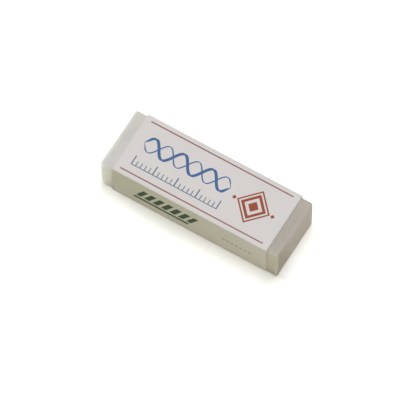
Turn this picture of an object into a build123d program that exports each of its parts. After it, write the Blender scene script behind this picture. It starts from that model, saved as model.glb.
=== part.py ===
from build123d import *
import os

# A vinyl eraser: a block of soft vinyl that stands out of both ends of a folded card sleeve.
# Millimetres. +X runs along the block, +Y towards its rear long side, +Z up.
# The origin is on the surface that the sleeve lies on, under the middle of the sleeve.

# Vinyl block
block_length = 65.0
block_width = 22.0
block_height = 13.5
# Soft rounding all round the two long narrow sides
side_edge_radius = 0.4
# Rounding of the short edges across the two ends, left by the cut and the tumbling drum
end_edge_radius = 0.8
# One lower end edge is rubbed rounder than the rest
rubbed_edge_radius = 2.6

# Card sleeve
card_thickness = 0.2
sleeve_length = 56.5
# Radius of the inside of each fold
fold_inside_radius = 0.15
# Running clearance between the card and each face of the block
slide_clearance = 0.05
# The glue flap stops this far below the card that closes over it
flap_end_gap = 0.8
# The outer panel of the lap stops this far above the lowest face
lap_edge_height = 0.9

# The hollow that the card leaves for the block
hollow_width = block_width + 2 * slide_clearance
hollow_height = block_height + 2 * slide_clearance

# The rear side is two cards thick, so the hollow sits forward of the middle of the sleeve
sleeve_width = hollow_width + 3 * card_thickness
hollow_front_y = -sleeve_width / 2 + card_thickness
hollow_rear_y = hollow_front_y + hollow_width
hollow_floor_z = card_thickness
hollow_roof_z = hollow_floor_z + hollow_height

# The block is centred in the hollow
block_middle_y = (hollow_front_y + hollow_rear_y) / 2
block_middle_z = (hollow_floor_z + hollow_roof_z) / 2


# Vinyl block: the side profile carries the rounding of the ends and is drawn out across the width,
# then the whole rim of each long narrow side is rounded.
side_view = Plane(
    origin=(0, block_middle_y, block_middle_z),
    x_dir=(1, 0, 0),
    z_dir=(0, -1, 0),
)

with BuildPart() as vinyl_block:
    with BuildSketch(side_view) as end_to_end_profile:
        Rectangle(block_length, block_height)
        lower_left = (-block_length / 2, -block_height / 2)
        cut_corners = end_to_end_profile.vertices().sort_by_distance(lower_left)[1:]
        fillet(cut_corners, radius=end_edge_radius)
        rubbed_corner = end_to_end_profile.vertices().sort_by_distance(lower_left)[0]
        fillet(rubbed_corner, radius=rubbed_edge_radius)
    extrude(amount=block_width / 2, both=True)
    long_sides = vinyl_block.faces().filter_by(Axis.Y)
    fillet(long_sides.edges(), radius=side_edge_radius)

vinyl_block.part.label = "vinyl_block"


# Card sleeve: the middle line of the strip is followed round its four folds, given the card's
# thickness and drawn out along the block. Its two ends lie glued on each other at the rear side, so
# it is followed in two runs that meet in the middle of the roof: the glue flap, floor, front and
# half of the roof, and then the other half of the roof and the panel that closes over the flap.
half_card = card_thickness / 2
flap_y = hollow_rear_y + half_card
lap_y = flap_y + card_thickness
front_y = hollow_front_y - half_card
floor_z = hollow_floor_z - half_card
roof_z = hollow_roof_z + half_card
fold_middle_radius = fold_inside_radius + half_card

flap_edge = (flap_y, hollow_roof_z - flap_end_gap)
rear_floor_fold = (flap_y, floor_z)
front_floor_fold = (front_y, floor_z)
front_roof_fold = (front_y, roof_z)
roof_middle = (0, roof_z)
rear_roof_fold = (lap_y, roof_z)
lap_edge = (lap_y, lap_edge_height)

with BuildPart() as card_sleeve:
    with BuildSketch(Plane.YZ.offset(-sleeve_length / 2)):
        with BuildLine():
            FilletPolyline(
                flap_edge,
                rear_floor_fold,
                front_floor_fold,
                front_roof_fold,
                roof_middle,
                radius=fold_middle_radius,
            )
        trace(line_width=card_thickness)
        with BuildLine():
            FilletPolyline(roof_middle, rear_roof_fold, lap_edge, radius=fold_middle_radius)
        trace(line_width=card_thickness)
    extrude(amount=sleeve_length)

card_sleeve.part.label = "card_sleeve"


os.makedirs("parts", exist_ok=True)
export_step(vinyl_block.part, "parts/vinyl_block.step")
export_step(card_sleeve.part, "parts/card_sleeve.step")
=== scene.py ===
# %% [markdown]
# # A vinyl eraser in its card sleeve
# The real thing is two pieces: a bar of soft vinyl, cut to length and tumbled until its edges
# are round, and a strip of printed card that is folded round it and glued along one narrow side.
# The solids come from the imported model. This script gives them their looks: the milky vinyl,
# the folded card with its print, and a photographer's white table.

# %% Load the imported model
import bmesh
import bpy
import math
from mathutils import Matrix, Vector, noise as clouds


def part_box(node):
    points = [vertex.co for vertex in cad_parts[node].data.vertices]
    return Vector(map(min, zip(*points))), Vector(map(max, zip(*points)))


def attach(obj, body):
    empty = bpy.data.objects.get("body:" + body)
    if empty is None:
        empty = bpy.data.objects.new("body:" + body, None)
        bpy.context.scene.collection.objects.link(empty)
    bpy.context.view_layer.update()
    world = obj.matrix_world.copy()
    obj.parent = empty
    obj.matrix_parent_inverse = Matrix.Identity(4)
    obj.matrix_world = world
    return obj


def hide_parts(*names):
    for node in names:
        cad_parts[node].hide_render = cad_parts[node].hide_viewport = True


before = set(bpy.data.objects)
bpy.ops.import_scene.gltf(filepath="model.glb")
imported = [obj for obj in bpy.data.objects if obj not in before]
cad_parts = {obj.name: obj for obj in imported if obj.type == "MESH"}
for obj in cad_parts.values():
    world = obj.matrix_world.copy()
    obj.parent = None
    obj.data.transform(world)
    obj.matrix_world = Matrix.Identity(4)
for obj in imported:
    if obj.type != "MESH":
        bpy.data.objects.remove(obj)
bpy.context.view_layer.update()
block_low, block_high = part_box("vinyl_block")
sleeve_low, sleeve_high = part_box("card_sleeve")
print("vinyl block from", tuple(block_low), "to", tuple(block_high))
print("card sleeve from", tuple(sleeve_low), "to", tuple(sleeve_high))

# %% [markdown]
# ## Working in millimetres
# Everything in the scene is in metres, but an eraser is easier to think about in millimetres.
# One named value turns a size in millimetres into metres.

# %% Millimetres
MM = 0.001
block_size = (block_high - block_low) / MM
sleeve_size = (sleeve_high - sleeve_low) / MM
print("block", [round(side, 2) for side in block_size], "mm")
print("sleeve", [round(side, 2) for side in sleeve_size], "mm")

# %% [markdown]
# ## The camera
# The photograph looks down on the eraser from in front of its long side and a little from the
# right, through a long lens: its parallel edges stay almost parallel. The camera is placed by
# what it has to show. Its azimuth and its height above the horizon give the direction, the
# scale in pixels for each metre gives the distance, and the pixel where the middle of the block
# lies gives the aim.

# %% Camera
PHOTO_SIDE = 400
block_middle_pixel = Vector((206.68, 193.70))
pixels_per_metre = 3173
eye_azimuth = math.radians(30.89)
eye_elevation = math.radians(62.93)
lens_mm = 400
sensor_mm = 36

towards_eye = Vector((
    math.sin(eye_azimuth) * math.cos(eye_elevation),
    -math.cos(eye_azimuth) * math.cos(eye_elevation),
    math.sin(eye_elevation),
))
eye_right = Vector((math.cos(eye_azimuth), math.sin(eye_azimuth), 0))
eye_up = towards_eye.cross(eye_right)
eye_distance = lens_mm / sensor_mm * PHOTO_SIDE / pixels_per_metre
photo_middle = Vector((PHOTO_SIDE / 2, PHOTO_SIDE / 2))
off_middle = (block_middle_pixel - photo_middle) / pixels_per_metre
block_middle = Vector((0, 0, 6 * MM))
aim = block_middle - eye_right * off_middle.x + eye_up * off_middle.y

camera_data = bpy.data.cameras.new("camera")
camera_data.lens = lens_mm
camera_data.sensor_width = sensor_mm
camera = bpy.data.objects.new("camera", camera_data)
bpy.context.scene.collection.objects.link(camera)
camera.location = aim + towards_eye * eye_distance
camera.rotation_mode = "QUATERNION"
camera.rotation_quaternion = (-towards_eye).to_track_quat("-Z", "Y")
bpy.context.scene.camera = camera
print(f"camera {eye_distance:.3f} m from the eraser")

# %% [markdown]
# ## Helpers for materials
# A material is a small graph of nodes. A few helpers keep the graphs short to write: one starts
# an empty material, one feeds an input, and one adds a node with its inputs fed. An input is
# either a plain value or another node's output, which is then linked.

# %% Node helpers
def new_material(name):
    """An empty material, the tree that its nodes go into, and its output node."""
    material = bpy.data.materials.new(name)
    material.use_nodes = True
    material.node_tree.nodes.clear()
    output = material.node_tree.nodes.new("ShaderNodeOutputMaterial")
    return material, material.node_tree, output


def feed(tree, socket, value):
    """Links an output to the socket, or sets it to a plain value."""
    if isinstance(value, bpy.types.NodeSocket):
        tree.links.new(value, socket)
    else:
        socket.default_value = value


def add_node(tree, kind, **inputs):
    """A node of that kind with its inputs fed, named as in Blender with _ for a space."""
    node = tree.nodes.new("ShaderNode" + kind)
    for name, value in inputs.items():
        feed(tree, node.inputs[name.replace("_", " ")], value)
    return node


print("helpers: new_material, feed and add_node")

# %% [markdown]
# ## Helpers for arithmetic
# Most of the looks below are worked out from a place on the piece, by nodes that add, multiply
# or rescale numbers and mix colours. Written as functions, they read almost like plain sums. A
# Mix node has sockets of the same names for numbers, vectors and colours, so its colour sockets
# are picked by their numbers.

# %% Arithmetic helpers
MIX_FIRST_COLOUR = 6
MIX_SECOND_COLOUR = 7
MIX_COLOUR_RESULT = 2


def calc(tree, operation, *values):
    """The result of one arithmetic step on numbers or outputs."""
    node = tree.nodes.new("ShaderNodeMath")
    node.operation = operation
    for socket, value in zip(node.inputs, values):
        feed(tree, socket, value)
    return node.outputs["Value"]


def rescale(tree, value, low, high, new_low=0.0, new_high=1.0):
    """Value moved from the span low..high to new_low..new_high, and held inside it."""
    node = add_node(
        tree, "MapRange", Value=value, From_Min=low, From_Max=high, To_Min=new_low, To_Max=new_high
    )
    return node.outputs["Result"]


def away(tree, value, middle):
    """How far the value is from the middle, always positive."""
    return calc(tree, "ABSOLUTE", calc(tree, "SUBTRACT", value, middle))


def tint(tree, factor, first, second):
    """A colour that goes from the first to the second as the factor goes from 0 to 1."""
    node = tree.nodes.new("ShaderNodeMix")
    node.data_type = "RGBA"
    feed(tree, node.inputs["Factor"], factor)
    feed(tree, node.inputs[MIX_FIRST_COLOUR], first)
    feed(tree, node.inputs[MIX_SECOND_COLOUR], second)
    return node.outputs[MIX_COLOUR_RESULT]


print("helpers: calc, rescale, away and tint")

# %% [markdown]
# ## Helpers for place and noise
# Object coordinates say where on the piece a point is, in the shared frame, because every piece
# sits at the origin. In millimetres they give the print and the wear real sizes. Noise read at
# the same place gives clouds, fibres and scuffs that stay put when the piece moves.

# %% Place and noise helpers
def place_in_mm(tree):
    """The Object coordinates in millimetres, whole and as X, Y and Z."""
    place = add_node(tree, "TexCoord").outputs["Object"]
    scaled = tree.nodes.new("ShaderNodeVectorMath")
    scaled.operation = "SCALE"
    feed(tree, scaled.inputs["Vector"], place)
    feed(tree, scaled.inputs["Scale"], 1 / MM)
    split = add_node(tree, "SeparateXYZ", Vector=scaled.outputs["Vector"])
    return scaled.outputs["Vector"], split.outputs["X"], split.outputs["Y"], split.outputs["Z"]


def mottle(tree, place, scale, detail=2.0, roughness=0.5):
    """Cloudy noise from 0 to 1, its scale in cycles for each millimetre."""
    node = add_node(tree, "TexNoise", Vector=place, Scale=scale, Detail=detail, Roughness=roughness)
    return node.outputs["Fac"]


print("helpers: place_in_mm and mottle")

# %% [markdown]
# ## The tones of the vinyl
# The bar's tones are mostly painted light and shade. Its broad faces are a little cloudy, and are painted
# darker and warmer towards the right as shade, and lighter under and beside the sleeve's ends as light,
# more so on the left. The narrow front side is painted paler as a glow, and darker towards the right as
# shade. The right end face is painted darker as shade, most towards its front corner. One painted picture
# could hold all this, but it would need unwrapping and would blur.
# Here each side has a tone of its own, and they blend into each other over half a millimetre or
# so, where the edges are round.

# %% Vinyl tones
VINYL_PALE = (0.545, 0.525, 0.50, 1)
VINYL_CLOUD = (0.515, 0.495, 0.47, 1)
# Painted shade: the broad faces darken towards the right.
VINYL_SHADE_RIGHT = (0.415, 0.37, 0.32, 1)
# Painted light: the vinyl is lighter beside the sleeve's ends.
VINYL_SLEEVE_LIGHT = (0.80, 0.78, 0.75, 1)
# Painted light: the front side is paler, as a glow through the vinyl.
VINYL_FRONT_GLOW = (0.91, 0.87, 0.88, 1)
# Painted shade: the front side darkens towards the right.
VINYL_FRONT_SHADE = (0.68, 0.63, 0.59, 1)
# Painted shade: the right end face is darker.
VINYL_END_SHADE = (0.445, 0.395, 0.405, 1)
# Painted shade: darkest at the right end's front corner.
VINYL_CORNER_SHADE = (0.25, 0.225, 0.20, 1)
block_front = block_low.y / MM
block_end = block_high.x / MM
sleeve_end = sleeve_high.x / MM


def broad_tone(tree, place, x, towards_right):
    """Broad faces: cloudy, painted darker towards the right as shade, and painted lighter under and beside
    the sleeve as light.
    """
    cloud = mottle(tree, place, 0.14, detail=3.0)
    clouded = tint(tree, rescale(tree, cloud, 0.35, 0.65), VINYL_CLOUD, VINYL_PALE)
    # Painted shade towards the right.
    shaded_right = tint(tree, towards_right, clouded, VINYL_SHADE_RIGHT)
    # Painted light beside the sleeve's ends, stronger on the left.
    sleeve_light_mask = rescale(tree, away(tree, x, 0.0), sleeve_end - 0.2, sleeve_end + 2.4, 1.0, 0.0)
    sleeve_light_share = rescale(tree, x, -sleeve_end, sleeve_end, 0.5, 0.28)
    return tint(tree, calc(tree, "MULTIPLY", sleeve_light_mask, sleeve_light_share), shaded_right, VINYL_SLEEVE_LIGHT)


def end_shade_tone(tree, y):
    """Right end face: painted shade, darker still towards the front corner."""
    towards_corner = rescale(tree, y, -2.0, block_front, 0.0, 0.7)
    return tint(tree, towards_corner, VINYL_END_SHADE, VINYL_CORNER_SHADE)


def front_tone(tree, x, towards_right):
    """Narrow front side: painted paler as a glow, and painted darker towards the right and at the right
    corner as shade.
    """
    side = tint(tree, towards_right, VINYL_FRONT_GLOW, VINYL_FRONT_SHADE)
    return tint(tree, rescale(tree, x, 29.5, block_end, 0.0, 0.4), side, VINYL_CORNER_SHADE)


def vinyl_tone(tree, place, x, y):
    """The tone of the whole bar, put together from its sides."""
    towards_right = rescale(tree, x, -20.0, 28.0)
    on_right_end = rescale(tree, x, block_end - 0.7, block_end - 0.2)
    on_front = rescale(tree, y, block_front + 0.6, block_front)
    broad = broad_tone(tree, place, x, towards_right)
    # Painted shade on the right end face.
    tone = tint(tree, on_right_end, broad, end_shade_tone(tree, y))
    return tint(tree, on_front, tone, front_tone(tree, x, towards_right))


print("block from", round(-block_end, 2), "to", round(block_end, 2), "mm, sleeve to", round(sleeve_end, 2))

# %% [markdown]
# ## The vinyl
# Eraser vinyl is soft plastic filled with chalk. Light goes many millimetres into it and comes
# out again, so the bare ends look milky and have no hard shading at their edges. Paint alone
# would look like plaster, and glass would look wet. Half of the light is therefore scattered
# back at the surface, as by chalk, and half goes in and comes out elsewhere, by subsurface
# scattering with a long reach. On the surface are a very fine chalky grain, shallow scuffs from
# the tumbling drum, and on both ends the fine level lines that the knife drew.

# %% Vinyl material
VINYL_REACH = 16 * MM
CHALK_TO_GLOW = 0.5
REACH_BY_COLOUR = (1.0, 0.95, 0.85)


def vinyl_relief(tree, place, x, y, z, scuffs):
    """The height of the surface: fine grain, scuffs, and knife lines on the two ends."""
    grain = mottle(tree, place, 7.0, detail=3.0, roughness=0.6)
    drawn_out = add_node(tree, "CombineXYZ", Y=calc(tree, "MULTIPLY", y, 0.08), Z=z)
    knife = mottle(tree, drawn_out.outputs["Vector"], 3.0, detail=2.0)
    on_end = rescale(tree, away(tree, x, 0.0), block_end - 0.5, block_end - 0.3)
    relief = calc(tree, "ADD", calc(tree, "MULTIPLY", grain, 0.3), scuffs)
    return calc(tree, "ADD", relief, calc(tree, "MULTIPLY", knife, on_end))


def vinyl_material():
    """Milky vinyl, with its tones and its relief."""
    material, tree, output = new_material("milky_vinyl")
    place, x, y, z = place_in_mm(tree)
    scuffs = mottle(tree, place, 0.8, detail=5.0, roughness=0.6)
    relief = vinyl_relief(tree, place, x, y, z, scuffs)
    bump = add_node(tree, "Bump", Strength=0.35, Distance=0.12 * MM, Height=relief)
    shader = add_node(
        tree,
        "BsdfPrincipled",
        Base_Color=vinyl_tone(tree, place, x, y),
        Roughness=rescale(tree, scuffs, 0.3, 0.7, 0.46, 0.62),
        IOR=1.5,
        Subsurface_Weight=CHALK_TO_GLOW,
        Subsurface_Radius=REACH_BY_COLOUR,
        Subsurface_Scale=VINYL_REACH,
        Normal=bump.outputs["Normal"],
    )
    feed(tree, output.inputs["Surface"], shader.outputs["BSDF"])
    return material


milky_vinyl = vinyl_material()
print("made", milky_vinyl.name, "with light reaching", round(VINYL_REACH / MM), "mm into it")

# %% [markdown]
# ## Ink shapes from arithmetic
# The print on a sleeve is flat ink with crisp edges. Each shape of the print is a mask, 1 inside
# and 0 outside, worked out from the place on the card in millimetres. Two masks are joined by
# the larger of them, and one is cut by another by multiplying. The edge goes from 1 to 0 over a
# few hundredths of a millimetre, as ink spreads in card, which also keeps it free of steps. A
# repeated shape counts from a whole number of pitches further left, so that its numbers stay
# above zero.

# %% Ink masks
INK_SPREAD = 0.04
WHOLE_PITCHES = 40


def within(tree, distance, reach):
    """1 where the distance is under the reach, 0 where it is over, with a soft ink edge."""
    return rescale(tree, distance, reach - INK_SPREAD, reach + INK_SPREAD, 1.0, 0.0)


def stripe(tree, value, low, high):
    """1 where the value is between low and high."""
    return within(tree, away(tree, value, (low + high) / 2), (high - low) / 2)


def joined(tree, *masks):
    """1 where any of the masks is 1."""
    whole = masks[0]
    for mask in masks[1:]:
        whole = calc(tree, "MAXIMUM", whole, mask)
    return whole


def cut(tree, *masks):
    """1 only where all of the masks are 1."""
    whole = masks[0]
    for mask in masks[1:]:
        whole = calc(tree, "MULTIPLY", whole, mask)
    return whole


def repeat(tree, value, pitch):
    """How far the value is from the nearest whole number of pitches."""
    return calc(tree, "PINGPONG", calc(tree, "ADD", value, WHOLE_PITCHES * pitch), pitch / 2)


print("ink edges", 2 * INK_SPREAD, "mm wide")

# %% [markdown]
# ## The print on the sleeve: lines and ribbon
# The sleeve carries a plain pattern in the colours of cheap four-colour print. A thin red-brown
# line runs along each long edge of the broad face, and between the lines is a blue ribbon of two
# crossing waves. A picture of the print would be quicker, but it would blur close up. Arithmetic
# stays sharp at any distance and has sizes in millimetres that are easy to change.

# %% Line and ribbon masks
def edge_rules(tree, x, y):
    """One line along each long edge of the broad face."""
    from_middle, half_width, half_length = 9.5, 0.2, 26.0
    line = within(tree, away(tree, away(tree, y, 0.0), from_middle), half_width)
    return cut(tree, line, within(tree, away(tree, x, 0.0), half_length))


def twist(tree, x, y):
    """Two waves that cross each other, thick where they rise and thin at their crests."""
    start, end, middle, height, pitch = -24.0, 7.5, 2.1, 2.7, 10.5
    crest_reach, slope_reach, pointed_length = 0.30, 0.95, 1.3
    turn = calc(tree, "MULTIPLY", calc(tree, "SUBTRACT", x, start), 2 * math.pi / pitch)
    wave = calc(tree, "MULTIPLY", calc(tree, "SINE", turn), height)
    slope = calc(tree, "ABSOLUTE", calc(tree, "COSINE", turn))
    reach = rescale(tree, slope, 0.0, 1.0, crest_reach, slope_reach)
    from_end = calc(tree, "SUBTRACT", (end - start) / 2, away(tree, x, (start + end) / 2))
    reach = calc(tree, "MULTIPLY", reach, rescale(tree, from_end, 0.0, pointed_length, 0.2, 1.0))
    up = calc(tree, "SUBTRACT", y, middle)
    rising = calc(tree, "DIVIDE", calc(tree, "ABSOLUTE", calc(tree, "SUBTRACT", up, wave)), reach)
    falling = calc(tree, "DIVIDE", calc(tree, "ABSOLUTE", calc(tree, "ADD", up, wave)), reach)
    both = joined(tree, within(tree, rising, 1.0), within(tree, falling, 0.45))
    return cut(tree, both, stripe(tree, x, start, end))


print("masks: edge_rules and twist")

# %% [markdown]
# ## The print on the sleeve: ticks and diamond
# Below the ribbon is a blue-grey scale of short and long ticks, and near the right end a nested
# diamond in orange brown. The distance across plus the distance up is the same all along the
# side of a diamond, so one sum and three spans of it make the heart, the ring and the outline.

# %% Tick and diamond masks
def tick_scale(tree, x, y):
    """A base line with short and long ticks on it, as on a ruler."""
    start, end, base = -23.7, 7.3, -6.6
    short_pitch, long_pitch, short_height, long_height = 1.55, 7.75, 1.9, 3.3
    run = stripe(tree, x, start - 0.16, end + 0.16)
    from_start = calc(tree, "SUBTRACT", x, start)
    short = within(tree, repeat(tree, from_start, short_pitch), 0.14)
    short = cut(tree, short, stripe(tree, y, base, base + short_height))
    long = within(tree, repeat(tree, from_start, long_pitch), 0.2)
    long = cut(tree, long, stripe(tree, y, base, base + long_height))
    line = stripe(tree, y, base - 0.14, base + 0.14)
    return cut(tree, joined(tree, short, long, line), run)


def diamond(tree, x, y):
    """A filled diamond inside two outlined ones, with a small one at each side."""
    middle, flatness, heart_reach, ring_at, outline_at, beside_at = 17.0, 0.92, 1.9, 3.9, 5.6, 6.9
    across = away(tree, x, middle)
    up = away(tree, y, 0.0)
    size = calc(tree, "ADD", across, calc(tree, "MULTIPLY", up, flatness))
    outline = within(tree, away(tree, size, outline_at), 0.34)
    ring = within(tree, away(tree, size, ring_at), 0.62)
    heart = within(tree, size, heart_reach)
    beside = calc(tree, "ADD", away(tree, across, beside_at), up)
    return joined(tree, outline, ring, heart, within(tree, beside, 0.75))


print("masks: tick_scale and diamond")

# %% [markdown]
# ## The print on the front side
# The narrow front side is printed in the same pass, before the card is folded. It has a row of
# slanting dark green bars over one long bar, and a thin olive line of dashes. They are made from
# the same masks, with height above the table in the place of depth.

# %% Front side masks
def green_stripes(tree, x, z):
    """A row of slanting bars with one long bar under them."""
    slant, bar_pitch, bar_half = 0.6, 3.1, 0.98
    lean = calc(tree, "SUBTRACT", x, calc(tree, "MULTIPLY", z, slant))
    bars = within(tree, repeat(tree, lean, bar_pitch), bar_half)
    row = cut(tree, bars, stripe(tree, z, 5.5, 10.2))
    foot = stripe(tree, z, 3.5, 4.6)
    return cut(tree, joined(tree, row, foot), stripe(tree, lean, -22.5, -2.4))


def dash_line(tree, x, z):
    """A row of small dashes."""
    dash_pitch, dash_half = 1.6, 0.5
    dashes = within(tree, repeat(tree, x, dash_pitch), dash_half)
    return cut(tree, dashes, stripe(tree, z, 6.5, 6.9), stripe(tree, x, 12.0, 23.2))


print("masks: green_stripes and dash_line")

# %% [markdown]
# ## Wear and painted shade on the card
# Card shows its handling in a few places. It is whiter and rougher where it is creased at the
# folds, and a little grey along its cut ends from fingers. The left of its front side is painted
# darker and warmer as shade, fading out near the table, where it stays lighter. Each is a mask
# again; the wear is from the distance to the fold or to the end, broken up by the noise that stands
# for the fibres.

# %% Wear masks
sleeve_middle = (sleeve_low + sleeve_high) / 2 / MM
sleeve_half = sleeve_size / 2
skin_start, skin_end = 0.12, 0.08


def on_broad_face(tree, z):
    """1 on the top of the sleeve."""
    return rescale(tree, z, sleeve_high.z / MM - skin_start, sleeve_high.z / MM - skin_end)


def on_front_face(tree, y):
    """1 on the narrow front side of the sleeve."""
    return rescale(tree, y, sleeve_low.y / MM + skin_start, sleeve_low.y / MM + skin_end)


def worn_at_folds(tree, y, z, fibres):
    """1 along the four folds, where the fibres stand up."""
    past_side = calc(tree, "SUBTRACT", away(tree, y, sleeve_middle.y), sleeve_half.y)
    past_roof = calc(tree, "SUBTRACT", away(tree, z, sleeve_middle.z), sleeve_half.z)
    to_fold = calc(tree, "ADD", past_side, past_roof)
    return cut(tree, rescale(tree, to_fold, -0.55, -0.15), rescale(tree, fibres, 0.35, 0.6))


def soiled_at_ends(tree, x, fibres):
    """1 at the two cut ends of the sleeve."""
    to_end = calc(tree, "SUBTRACT", away(tree, x, 0.0), sleeve_half.x)
    return cut(tree, rescale(tree, to_end, -0.9, 0.0), rescale(tree, fibres, 0.3, 0.7))


def front_shade_mask(tree, x, y, z):
    """Painted shade: 1 on the left of the front side, fading out near the table, where it stays lighter.
    """
    return cut(tree, on_front_face(tree, y), rescale(tree, x, 22.0, -4.0), rescale(tree, z, 0.5, 6.0))


print("wear from the folds and ends of a sleeve", [round(half, 2) for half in sleeve_half], "mm each way")

# %% [markdown]
# ## The card
# The sleeve is thin card with a white coated face. The coating is smooth but not glossy, and the
# fibres under it still show as a very slight relief. The inks lie on it one after another, and
# make it slightly smoother, and the wear comes last, over the ink.

# %% Card face material
CARD_WHITE = (0.745, 0.705, 0.70, 1)
CARD_SHADE = (0.725, 0.69, 0.68, 1)
CARD_CREASE = (0.74, 0.71, 0.68, 1)
CARD_SOILED = (0.62, 0.585, 0.54, 1)
# Painted shade: the darker, warmer left of the front side.
CARD_FRONT_SHADE = (0.68, 0.655, 0.60, 1)
RED_BROWN = (0.25, 0.045, 0.03, 1)
ORANGE_BROWN = (0.31, 0.055, 0.012, 1)
INK_BLUE = (0.05, 0.12, 0.30, 1)
SLATE_BLUE = (0.085, 0.115, 0.21, 1)
DARK_GREEN = (0.03, 0.07, 0.055, 1)
OLIVE = (0.10, 0.10, 0.055, 1)
CARD_SHINE = 0.25


def inks_on_card(tree, x, y, z):
    """Each ink with the mask of where it lies."""
    on_roof = on_broad_face(tree, z)
    on_front = on_front_face(tree, y)
    return (
        (cut(tree, edge_rules(tree, x, y), on_roof), RED_BROWN),
        (cut(tree, twist(tree, x, y), on_roof), INK_BLUE),
        (cut(tree, tick_scale(tree, x, y), on_roof), SLATE_BLUE),
        (cut(tree, diamond(tree, x, y), on_roof), ORANGE_BROWN),
        (cut(tree, green_stripes(tree, x, z), on_front), DARK_GREEN),
        (cut(tree, dash_line(tree, x, z), on_front), OLIVE),
    )


def card_face_material():
    """Coated card with its print and its wear."""
    material, tree, output = new_material("printed_card")
    place, x, y, z = place_in_mm(tree)
    cloud = mottle(tree, place, 0.07, detail=2.0)
    fibres = mottle(tree, place, 3.5, detail=4.0, roughness=0.6)
    colour = tint(tree, rescale(tree, cloud, 0.35, 0.65), CARD_SHADE, CARD_WHITE)
    # Painted shade on the left of the front side, lighter near the table.
    colour = tint(tree, front_shade_mask(tree, x, y, z), colour, CARD_FRONT_SHADE)
    inks = inks_on_card(tree, x, y, z)
    for mask, ink in inks:
        colour = tint(tree, mask, colour, ink)
    printed = joined(tree, *[mask for mask, ink in inks])
    worn = worn_at_folds(tree, y, z, fibres)
    soiled = soiled_at_ends(tree, x, fibres)
    colour = tint(tree, calc(tree, "MULTIPLY", worn, 0.6), colour, CARD_CREASE)
    colour = tint(tree, calc(tree, "MULTIPLY", soiled, 0.3), colour, CARD_SOILED)

    relief = calc(tree, "ADD", fibres, calc(tree, "MULTIPLY", worn, 0.8))
    bump = add_node(tree, "Bump", Strength=0.25, Distance=0.06 * MM, Height=relief)
    coating = rescale(tree, fibres, 0.3, 0.7, 0.50, 0.60)
    shader = add_node(
        tree,
        "BsdfPrincipled",
        Base_Color=colour,
        Roughness=calc(tree, "SUBTRACT", coating, calc(tree, "MULTIPLY", printed, 0.08)),
        Specular_IOR_Level=CARD_SHINE,
        Normal=bump.outputs["Normal"],
    )
    feed(tree, output.inputs["Surface"], shader.outputs["BSDF"])
    return material


printed_card = card_face_material()
print("made", printed_card.name, "with", len(printed_card.node_tree.nodes), "nodes")

# %% [markdown]
# ## Card without print
# Two more surfaces of the same card show. Its back, inside the sleeve, is uncoated grey-cream
# fibre. Its cut edges are the pulp itself, pale and rough, and catch the light as a thin line
# round each end of the sleeve. Both are one material with other tones and another grain.

# %% Bare card material
def bare_card_material(name, pale, dark, grain_scale):
    """Uncoated card: fibres in two tones, with a rough felted surface."""
    material, tree, output = new_material(name)
    place = place_in_mm(tree)[0]
    fibres = mottle(tree, place, grain_scale, detail=5.0, roughness=0.65)
    bump = add_node(tree, "Bump", Strength=0.4, Distance=0.03 * MM, Height=fibres)
    shader = add_node(
        tree,
        "BsdfPrincipled",
        Base_Color=tint(tree, rescale(tree, fibres, 0.35, 0.65), dark, pale),
        Roughness=rescale(tree, fibres, 0.3, 0.7, 0.75, 0.9),
        Normal=bump.outputs["Normal"],
    )
    feed(tree, output.inputs["Surface"], shader.outputs["BSDF"])
    return material


BACK_PALE = (0.62, 0.58, 0.52, 1)
BACK_DARK = (0.54, 0.50, 0.44, 1)
PULP_PALE = (0.80, 0.77, 0.73, 1)
PULP_DARK = (0.68, 0.64, 0.60, 1)
card_back = bare_card_material("card_back", BACK_PALE, BACK_DARK, grain_scale=2.5)
card_pulp = bare_card_material("card_cut_edge", PULP_PALE, PULP_DARK, grain_scale=9.0)
print("made", card_back.name, "and", card_pulp.name)

# %% [markdown]
# ## Putting a shape in the scene
# Every new piece ends the same way: its mesh is written to an object at the origin, it gets its
# materials and smooth shading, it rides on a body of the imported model, and it stands for the
# plain solid that it covers.

# %% Placing a finished piece
def place_piece(form, name, materials, body, node):
    """Writes the bmesh to an object that rides on the body and stands for the node."""
    mesh = bpy.data.meshes.new(name)
    form.to_mesh(mesh)
    form.free()
    for material in materials:
        mesh.materials.append(material)
    mesh.shade_smooth()
    piece = bpy.data.objects.new(name, mesh)
    bpy.context.scene.collection.objects.link(piece)
    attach(piece, body)
    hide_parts(node)
    print(name, "has", len(mesh.polygons), "faces and rides on", body)
    return piece


print("helper: place_piece")

# %% [markdown]
# ## The vinyl block
# The bar is extruded, cut to length by a knife and then tumbled, which rounds every edge and
# leaves its faces very slightly uneven. It is made in that order: a cube is scaled to the bar,
# the edges across its ends are rounded, one lower one more than the rest because that is where
# the eraser has been used, and then the rims of the two narrow sides.

# %% Round the edges of the bar
end_radius = 0.8 * MM
used_radius = 2.6 * MM
rim_radius = 0.7 * MM
sharp_angle = math.radians(60)


def rounded(form, edges, radius, steps):
    """Rounds those edges of the form."""
    bmesh.ops.bevel(
        form,
        geom=edges,
        offset=radius,
        offset_type="OFFSET",
        segments=steps,
        profile=0.5,
        affect="EDGES",
        material=-1,
    )


def runs_across(edge):
    """True for an edge that runs from the front side to the rear one."""
    return abs(edge.verts[0].co.y - edge.verts[1].co.y) > 1 * MM


def is_used_edge(edge):
    """True for an edge at the lower left."""
    middle = (edge.verts[0].co + edge.verts[1].co) / 2
    return middle.x < 0 and middle.z < (block_low.z + block_high.z) / 2


def is_narrow_side(face):
    """True for a face that looks to the front or to the rear."""
    return abs(face.normal.y) > 0.9


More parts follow.
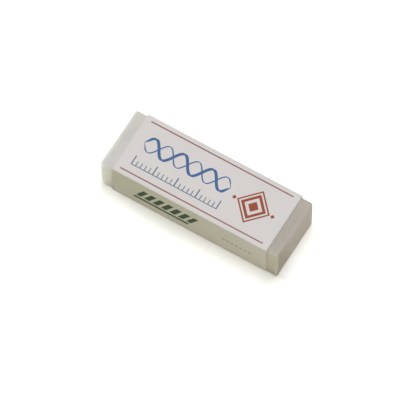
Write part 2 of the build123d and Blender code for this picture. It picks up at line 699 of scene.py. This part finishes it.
block_form = bmesh.new()
bmesh.ops.create_cube(block_form, size=1.0)
bmesh.ops.scale(block_form, vec=block_high - block_low, verts=block_form.verts)
bmesh.ops.translate(block_form, vec=(block_low + block_high) / 2, verts=block_form.verts)
fresh = [edge for edge in block_form.edges if runs_across(edge) and not is_used_edge(edge)]
rounded(block_form, fresh, end_radius, steps=5)
used = [edge for edge in block_form.edges if runs_across(edge) and is_used_edge(edge)]
used = [edge for edge in used if edge.calc_face_angle() > sharp_angle]
rounded(block_form, used, used_radius, steps=9)
rims = [edge for edge in block_form.edges if any(is_narrow_side(face) for face in edge.link_faces)]
rounded(block_form, rims, rim_radius, steps=4)
print("rounded bar has", len(block_form.faces), "faces")

# %% [markdown]
# ## Soft vinyl is never quite flat
# Tumbled vinyl has slightly domed ends and faintly uneven faces. The bar is first sliced into
# small faces, like bread, so that there is something to move. Then each point goes inwards by a
# few hundredths of a millimetre, as a slow noise and the distance from the middle of the end
# say. A displacement in the material would not move the outline, and only going inwards keeps
# the bar inside its solid.

# %% Slice it and make it uneven
slice_gap = 1.1 * MM
dome_depth = 0.08 * MM
uneven_depth = 0.05 * MM
dome_length = 3 * MM
cloud_size = 5 * MM
MERGE_REACH = 1e-7


def sliced(form, axis, low, high):
    """Cuts the form straight through at even steps along one axis."""
    count = round((high - low) / slice_gap)
    for step in range(1, count):
        point = Vector((0, 0, 0))
        point[axis] = low + (high - low) * step / count
        normal = Vector((0, 0, 0))
        normal[axis] = 1
        whole = form.verts[:] + form.edges[:] + form.faces[:]
        bmesh.ops.bisect_plane(form, geom=whole, dist=MERGE_REACH, plane_co=point, plane_no=normal)


for axis in range(3):
    sliced(block_form, axis, block_low[axis], block_high[axis])

block_centre = (block_low + block_high) / 2
block_half = (block_high - block_low) / 2
block_form.normal_update()
inward = {}
for vert in block_form.verts:
    spot = vert.co - block_centre
    from_rim = max(abs(spot.y) / block_half.y, abs(spot.z) / block_half.z)
    near_end = max(0.0, abs(spot.x) - block_half.x + dome_length) / dome_length
    dome = Vector((math.copysign(dome_depth * from_rim ** 2 * near_end, spot.x), 0, 0))
    swell = 0.5 + 0.5 * clouds.noise(vert.co / cloud_size)
    inward[vert] = dome + vert.normal * uneven_depth * swell
for vert, move in inward.items():
    vert.co -= move
vinyl_piece = place_piece(block_form, "tumbled_vinyl", [milky_vinyl], "block", "vinyl_block")

# %% [markdown]
# ## The folded sleeve
# A real sleeve starts as a flat blank that is scored, folded four times and glued to itself along
# one narrow side. The model is folded the same way in section: six points follow the middle of
# the card from the edge of the glue flap, under the block, up the front, over the top and down
# the back over the flap. The line is drawn out along the block, its four folds are rounded, and
# a Solidify modifier gives the card its thickness, with its bare back and its cut edges as
# materials of their own. A very small bevel keeps the cut edges from being knife-sharp.

# %% Fold the card
card_thickness = 0.2 * MM
fold_radius = 0.25 * MM
flap_drop = 0.8 * MM
lap_rise = 0.9 * MM
half_card = card_thickness / 2
lap_y = sleeve_high.y - half_card
flap_y = lap_y - card_thickness
front_y = sleeve_low.y + half_card
floor_z = sleeve_low.z + half_card
roof_z = sleeve_high.z - half_card
flap_top = sleeve_high.z - card_thickness - flap_drop
card_line = (
    (flap_y, flap_top),
    (flap_y, floor_z),
    (front_y, floor_z),
    (front_y, roof_z),
    (lap_y, roof_z),
    (lap_y, sleeve_low.z + lap_rise),
)

card_form = bmesh.new()
line_verts = [card_form.verts.new((sleeve_low.x, y, z)) for y, z in card_line]
line_edges = [card_form.edges.new(pair) for pair in zip(line_verts, line_verts[1:])]
drawn = bmesh.ops.extrude_edge_only(card_form, edges=line_edges)["geom"]
drawn_verts = [part for part in drawn if isinstance(part, bmesh.types.BMVert)]
bmesh.ops.translate(card_form, vec=(sleeve_high.x - sleeve_low.x, 0, 0), verts=drawn_verts)
folds = [edge for edge in card_form.edges if len(edge.link_faces) == 2]
rounded(card_form, folds, fold_radius, steps=6)
print(len(folds), "folds rounded")

# %% [markdown]
# ## A cut that isn't quite square
# Sleeves are guillotined in stacks, and a cut is often a little askew. In the photograph the
# left end of the sleeve leans: its front corner is about half a millimetre further in than its
# rear one. The points of that end are moved along the block, more the nearer they are to the
# front.

# %% Cut its left end a little out of square
skew = 0.5 * MM
for vert in card_form.verts:
    if vert.co.x < 0:
        vert.co.x += skew * (sleeve_high.y - vert.co.y) / (sleeve_high.y - sleeve_low.y)
print("left end cut", round(skew / MM, 2), "mm short at the front")

# %% [markdown]
# ## Thickness and faces
# Solidify puts half of the card's thickness on each side of the folded line. For that the
# printed face has to look outwards all round, so one face on top is looked at, and all are
# turned if it looks down. The new back and the rims then get their own materials by number.

# %% Turn its face outwards and give it thickness
roof = max(card_form.faces, key=lambda face: face.calc_center_median().z)
if roof.normal.z < 0:
    bmesh.ops.reverse_faces(card_form, faces=card_form.faces)
card_materials = [printed_card, card_back, card_pulp]
sleeve_piece = place_piece(card_form, "folded_card", card_materials, "sleeve", "card_sleeve")
thicken = sleeve_piece.modifiers.new("card_thickness", "SOLIDIFY")
thicken.thickness = card_thickness
thicken.offset = 0.0
thicken.use_even_offset = True
thicken.material_offset = 1
thicken.material_offset_rim = 2
soften = sleeve_piece.modifiers.new("cut_edges", "BEVEL")
soften.width = 0.03 * MM
soften.segments = 2
soften.limit_method = "ANGLE"
soften.angle_limit = math.radians(50)
soften.harden_normals = True

# %% [markdown]
# ## The white table
# The photograph is cut out on white, with only a short, soft, slightly yellow shadow in front of
# the eraser and at its right end. The table is cream paint, which also warms the light that it
# throws back on the eraser's sides. To the camera alone it is paler than it is, by a second
# coat that only Light Path's camera rays see, so that the open table is white and the shadow
# fades out within four millimetres.

# %% Floor
TABLE_WHITE = (0.82, 0.82, 0.58, 1)
TABLE_SEEN = (0.57, 0.57, 0.78, 1)
TABLE_HALF = 3.0
NO_PAINT = (0, 0, 0, 1)
table_form = bmesh.new()
bmesh.ops.create_grid(table_form, x_segments=1, y_segments=1, size=TABLE_HALF)
table_mesh = bpy.data.meshes.new("table")
table_form.to_mesh(table_mesh)
table_form.free()
table = bpy.data.objects.new("table", table_mesh)
bpy.context.scene.collection.objects.link(table)

table_paint, table_tree, table_output = new_material("white_table")
paint = add_node(table_tree, "BsdfDiffuse", Color=TABLE_WHITE)
seen = add_node(table_tree, "LightPath").outputs["Is Camera Ray"]
seen_tone = tint(table_tree, seen, NO_PAINT, TABLE_SEEN)
lift = add_node(table_tree, "BsdfDiffuse", Color=seen_tone)
both = table_tree.nodes.new("ShaderNodeAddShader")
feed(table_tree, both.inputs[0], paint.outputs["BSDF"])
feed(table_tree, both.inputs[1], lift.outputs["BSDF"])
feed(table_tree, table_output.inputs["Surface"], both.outputs["Shader"])
table_mesh.materials.append(table_paint)
print("table laid")

# %% [markdown]
# ## The room
# Soft light from the whole room fills the shadows a little. It is warm, and weak beside the
# lamps. What is seen in gloss, through glass or behind the table is a plain white studio, which
# the world shows to those rays alone, so it adds nothing to the light on the object.

# %% Room light
ROOM_COLOUR = (1.0, 0.97, 0.85, 1)
room_strength = 0.15
world = bpy.data.worlds.new("studio")
bpy.context.scene.world = world
world.use_nodes = True
room_tree = world.node_tree
room_tree.nodes.clear()
room = add_node(room_tree, "Background", Color=ROOM_COLOUR, Strength=room_strength)
backdrop = add_node(room_tree, "Background", Color=(1, 1, 1, 1), Strength=1.0)
rays = add_node(room_tree, "LightPath").outputs
shown = calc(room_tree, "MAXIMUM", rays["Is Camera Ray"], rays["Is Glossy Ray"])
shown = calc(room_tree, "MAXIMUM", shown, rays["Is Transmission Ray"])
choice = add_node(room_tree, "MixShader", Fac=shown)
feed(room_tree, choice.inputs[1], room.outputs["Background"])
feed(room_tree, choice.inputs[2], backdrop.outputs["Background"])
room_output = room_tree.nodes.new("ShaderNodeOutputWorld")
feed(room_tree, room_output.inputs["Surface"], choice.outputs["Shader"])
print("room light", room_strength)

# %% [markdown]
# ## The lamps
# One broad lamp overhead, a little behind, lights the broad face evenly and throws the short
# shadow to the front. Two small lamps stand low at the ends. The left one shines into the bare
# end there, so that its vinyl glows, and the right one lights the other end and part of the
# front. A lamp is set by its share of the plain level, at which a surface that faces it comes
# out in the colour that is written, so it can be moved without working out watts again.

# %% Lamps
def lamp(name, direction, distance, side, colour, share):
    """A square lamp aimed at the block, with its share of the plain level."""
    data = bpy.data.lights.new(name, "AREA")
    data.shape = "SQUARE"
    data.size = side
    data.color = colour
    data.energy = share * math.pi ** 2 * distance ** 2
    towards_lamp = Vector(direction).normalized()
    made = bpy.data.objects.new(name, data)
    bpy.context.scene.collection.objects.link(made)
    made.location = block_middle + towards_lamp * distance
    made.rotation_mode = "QUATERNION"
    made.rotation_quaternion = (-towards_lamp).to_track_quat("-Z", "Y")
    print(f"{name}: {data.energy:.2f} W from {distance} m")


lamp("key", (0.0, 0.25, 1.3), distance=0.6, side=0.4, colour=(0.96, 0.98, 1.0), share=0.69)
lamp("left", (-1.0, 0.06, 0.12), distance=0.5, side=0.2, colour=(0.92, 0.97, 1.0), share=0.80)
lamp("right", (1.0, -0.5, 0.2), distance=0.5, side=0.2, colour=(1.0, 0.97, 0.91), share=0.37)

# %% [markdown]
# ## Colours as they are
# The Standard view transform shows each colour as it is, without a film look.

# %% View transform
bpy.context.scene.view_settings.view_transform = "Standard"
print("view transform", bpy.context.scene.view_settings.view_transform)
